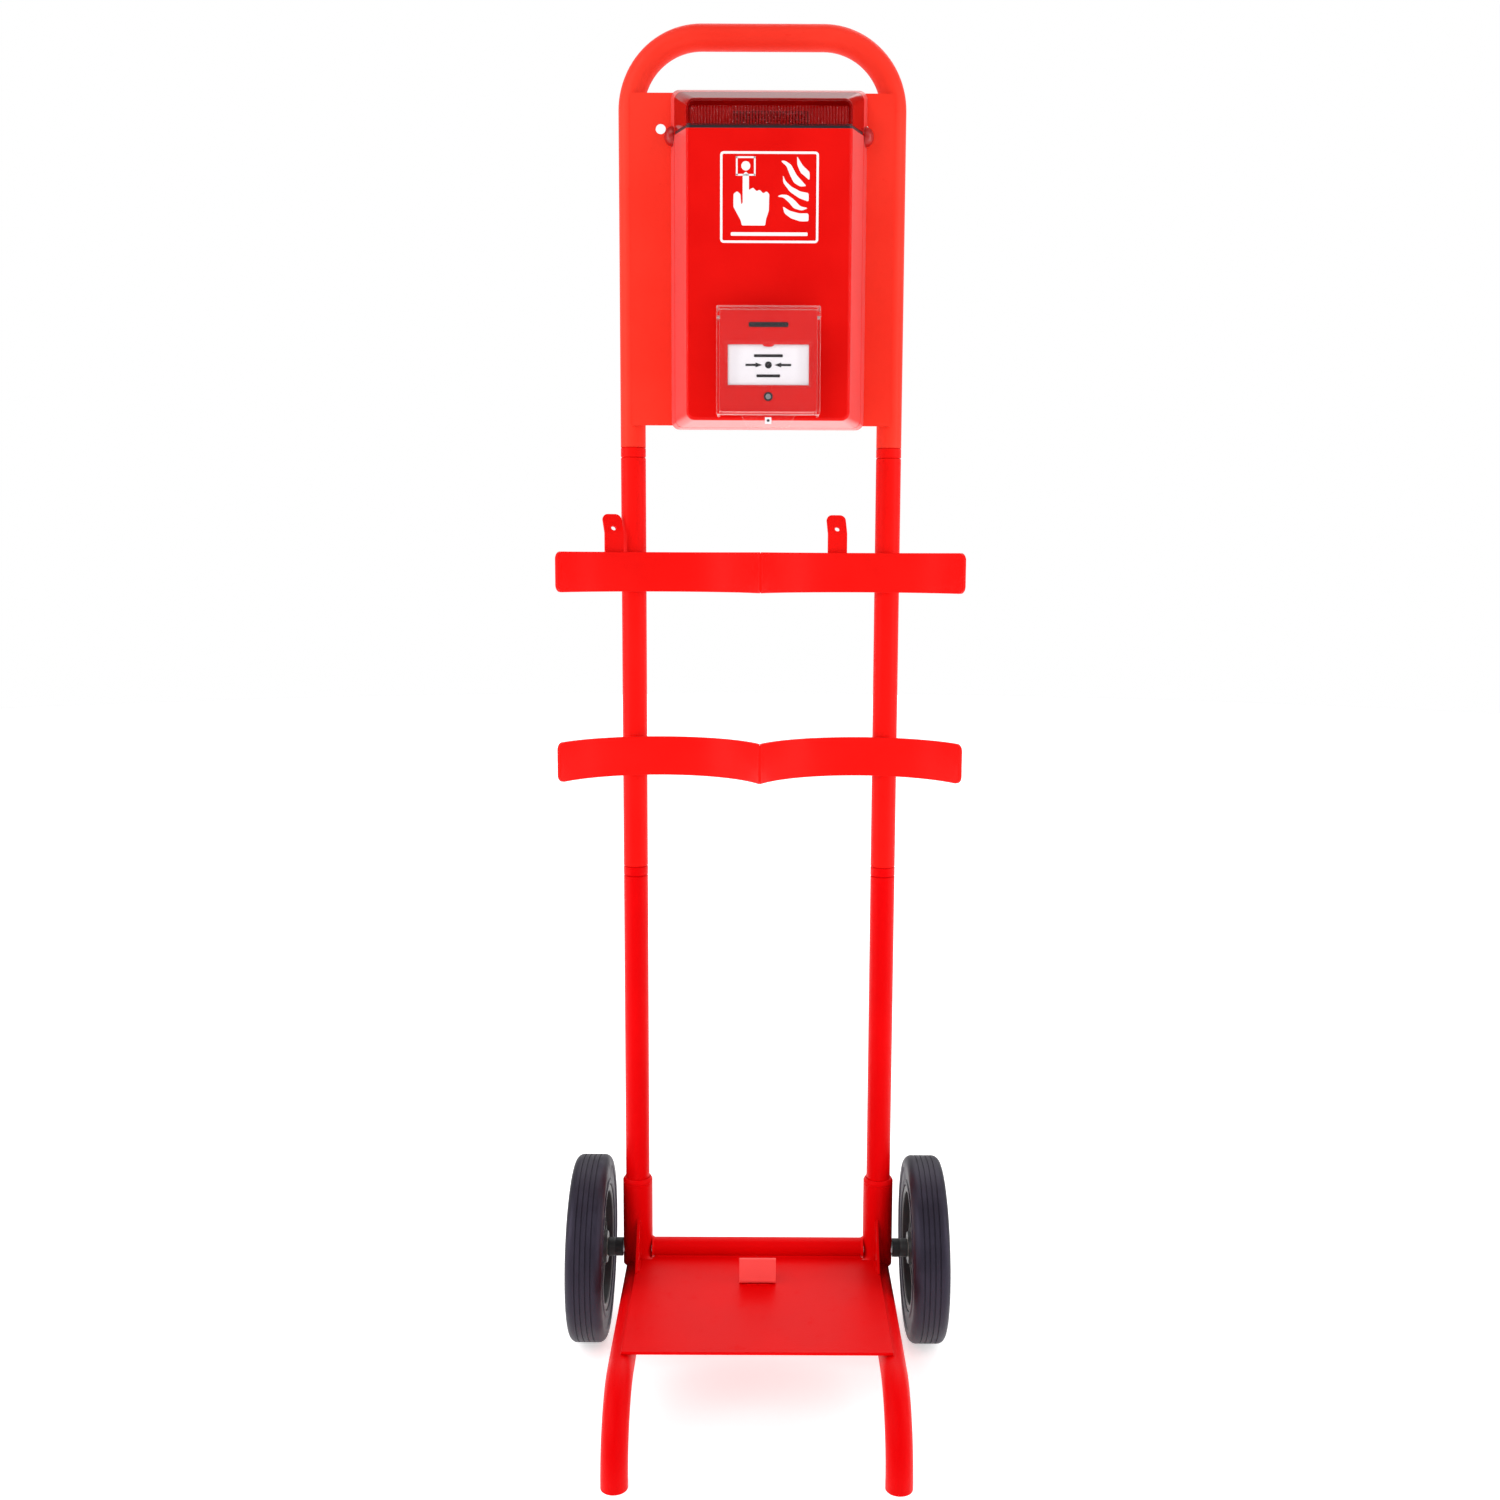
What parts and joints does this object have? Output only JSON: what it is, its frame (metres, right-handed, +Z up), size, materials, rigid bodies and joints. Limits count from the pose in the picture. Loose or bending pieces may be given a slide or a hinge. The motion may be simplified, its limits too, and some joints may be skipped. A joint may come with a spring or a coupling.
{
  "type": "wheeled fire point stand",
  "caption": "Two-wheeled tubular stand with paired arc cradles for extinguishers, a base tray, and a battery alarm box with beacon lens and covered call point.",
  "frame": {"origin": "bottom centre of the bounding box: on the floor, midway between the fronts of the feet and the backs of the tyres", "axes": "+Z up, -Y is the front that the alarm unit and the cradles face, +X to the right as seen from the front"},
  "size_m": [0.405, 0.3912, 1.363],
  "materials": {
    "upper_coat": "satin orange-red powder coat",
    "lower_coat": "satin deep red powder coat",
    "alarm_red": "gloss red moulded plastic",
    "lens_red": "clear dark red moulded lens with fine ribs",
    "rubber": "black solid rubber with fine grooves",
    "hub_black": "black moulded plastic",
    "steel": "zinc plated steel",
    "nylon": "natural nylon",
    "white_plastic": "white moulded plastic",
    "clear_plastic": "clear moulded plastic",
    "board_green": "green circuit board",
    "black_plastic": "black moulded plastic"
  },
  "bodies": {
    "frame": {"handle_bow": "upper_coat", "back_plate": "upper_coat", "upper_spigot_left": "upper_coat", "mid_tube_left": "upper_coat", "upper_cradle_left": "upper_coat", "lower_cradle_left": "upper_coat", "strap_tab_left": "upper_coat", "lower_spigot_left": "lower_coat", "lower_tube_left": "lower_coat", "socket_left": "lower_coat", "base_rail_left": "lower_coat", "gusset_left": "lower_coat", "foot_plug_left": "black_plastic", "axle_spacer_left": "black_plastic", "axle_washer_left": "steel", "hub_cap_left": "hub_black", "cover_screw_left": "alarm_red", "upper_spigot_right": "upper_coat", "mid_tube_right": "upper_coat", "upper_cradle_right": "upper_coat", "lower_cradle_right": "upper_coat", "strap_tab_right": "upper_coat", "lower_spigot_right": "lower_coat", "lower_tube_right": "lower_coat", "socket_right": "lower_coat", "base_rail_right": "lower_coat", "gusset_right": "lower_coat", "foot_plug_right": "black_plastic", "axle_spacer_right": "black_plastic", "axle_washer_right": "steel", "hub_cap_right": "hub_black", "cover_screw_right": "alarm_red", "base_plate": "lower_coat", "cross_tube": "lower_coat", "stop_bracket": "lower_coat", "axle": "steel", "cover_hinge_pin": "steel", "alarm_rivet_1": "steel", "alarm_rivet_2": "steel", "alarm_rivet_3": "steel", "alarm_rivet_4": "steel", "alarm_back_box": "alarm_red", "alarm_cover": "alarm_red", "call_point_body": "alarm_red", "beacon_lens": "lens_red", "control_board": "board_green", "beacon_board": "board_green", "battery_pack": "black_plastic", "sounder": "black_plastic", "microswitch": "black_plastic"},
    "left_wheel": {"tyre_left": "rubber", "wheel_hub_left": "hub_black", "wheel_bush_left": "nylon"},
    "right_wheel": {"tyre_right": "rubber", "wheel_hub_right": "hub_black", "wheel_bush_right": "nylon"},
    "clear_cover": {"clear_cover": "clear_plastic", "cover_seal": "white_plastic"},
    "call_element": {"call_element": "white_plastic"},
    "reset_key": {"reset_key_barrel": "steel"}
  },
  "joints": [
    {"name": "left_wheel_spin", "type": "hinge", "parent": "frame", "child": "left_wheel", "pos_m": [-0.18, 0.0981, 0.0975], "axis": [1, 0, 0], "continuous": true},
    {"name": "right_wheel_spin", "type": "hinge", "parent": "frame", "child": "right_wheel", "pos_m": [0.18, 0.0981, 0.0975], "axis": [1, 0, 0], "continuous": true},
    {"name": "clear_cover_lift", "type": "hinge", "parent": "frame", "child": "clear_cover", "pos_m": [0.0065, -0.0145, 1.0648], "axis": [-1, 0, 0], "range_deg": [0, 95]},
    {"name": "call_element_press", "type": "slide", "parent": "frame", "child": "call_element", "axis": [0, 1, 0], "range_m": [0, 0.004], "stiffness_N_per_m": 1500, "springref_m": -0.002},
    {"name": "reset_key_turn", "type": "hinge", "parent": "frame", "child": "reset_key", "pos_m": [0.0065, -0.0295, 0.991], "axis": [0, 1, 0], "range_deg": [0, 90]}
  ]
}
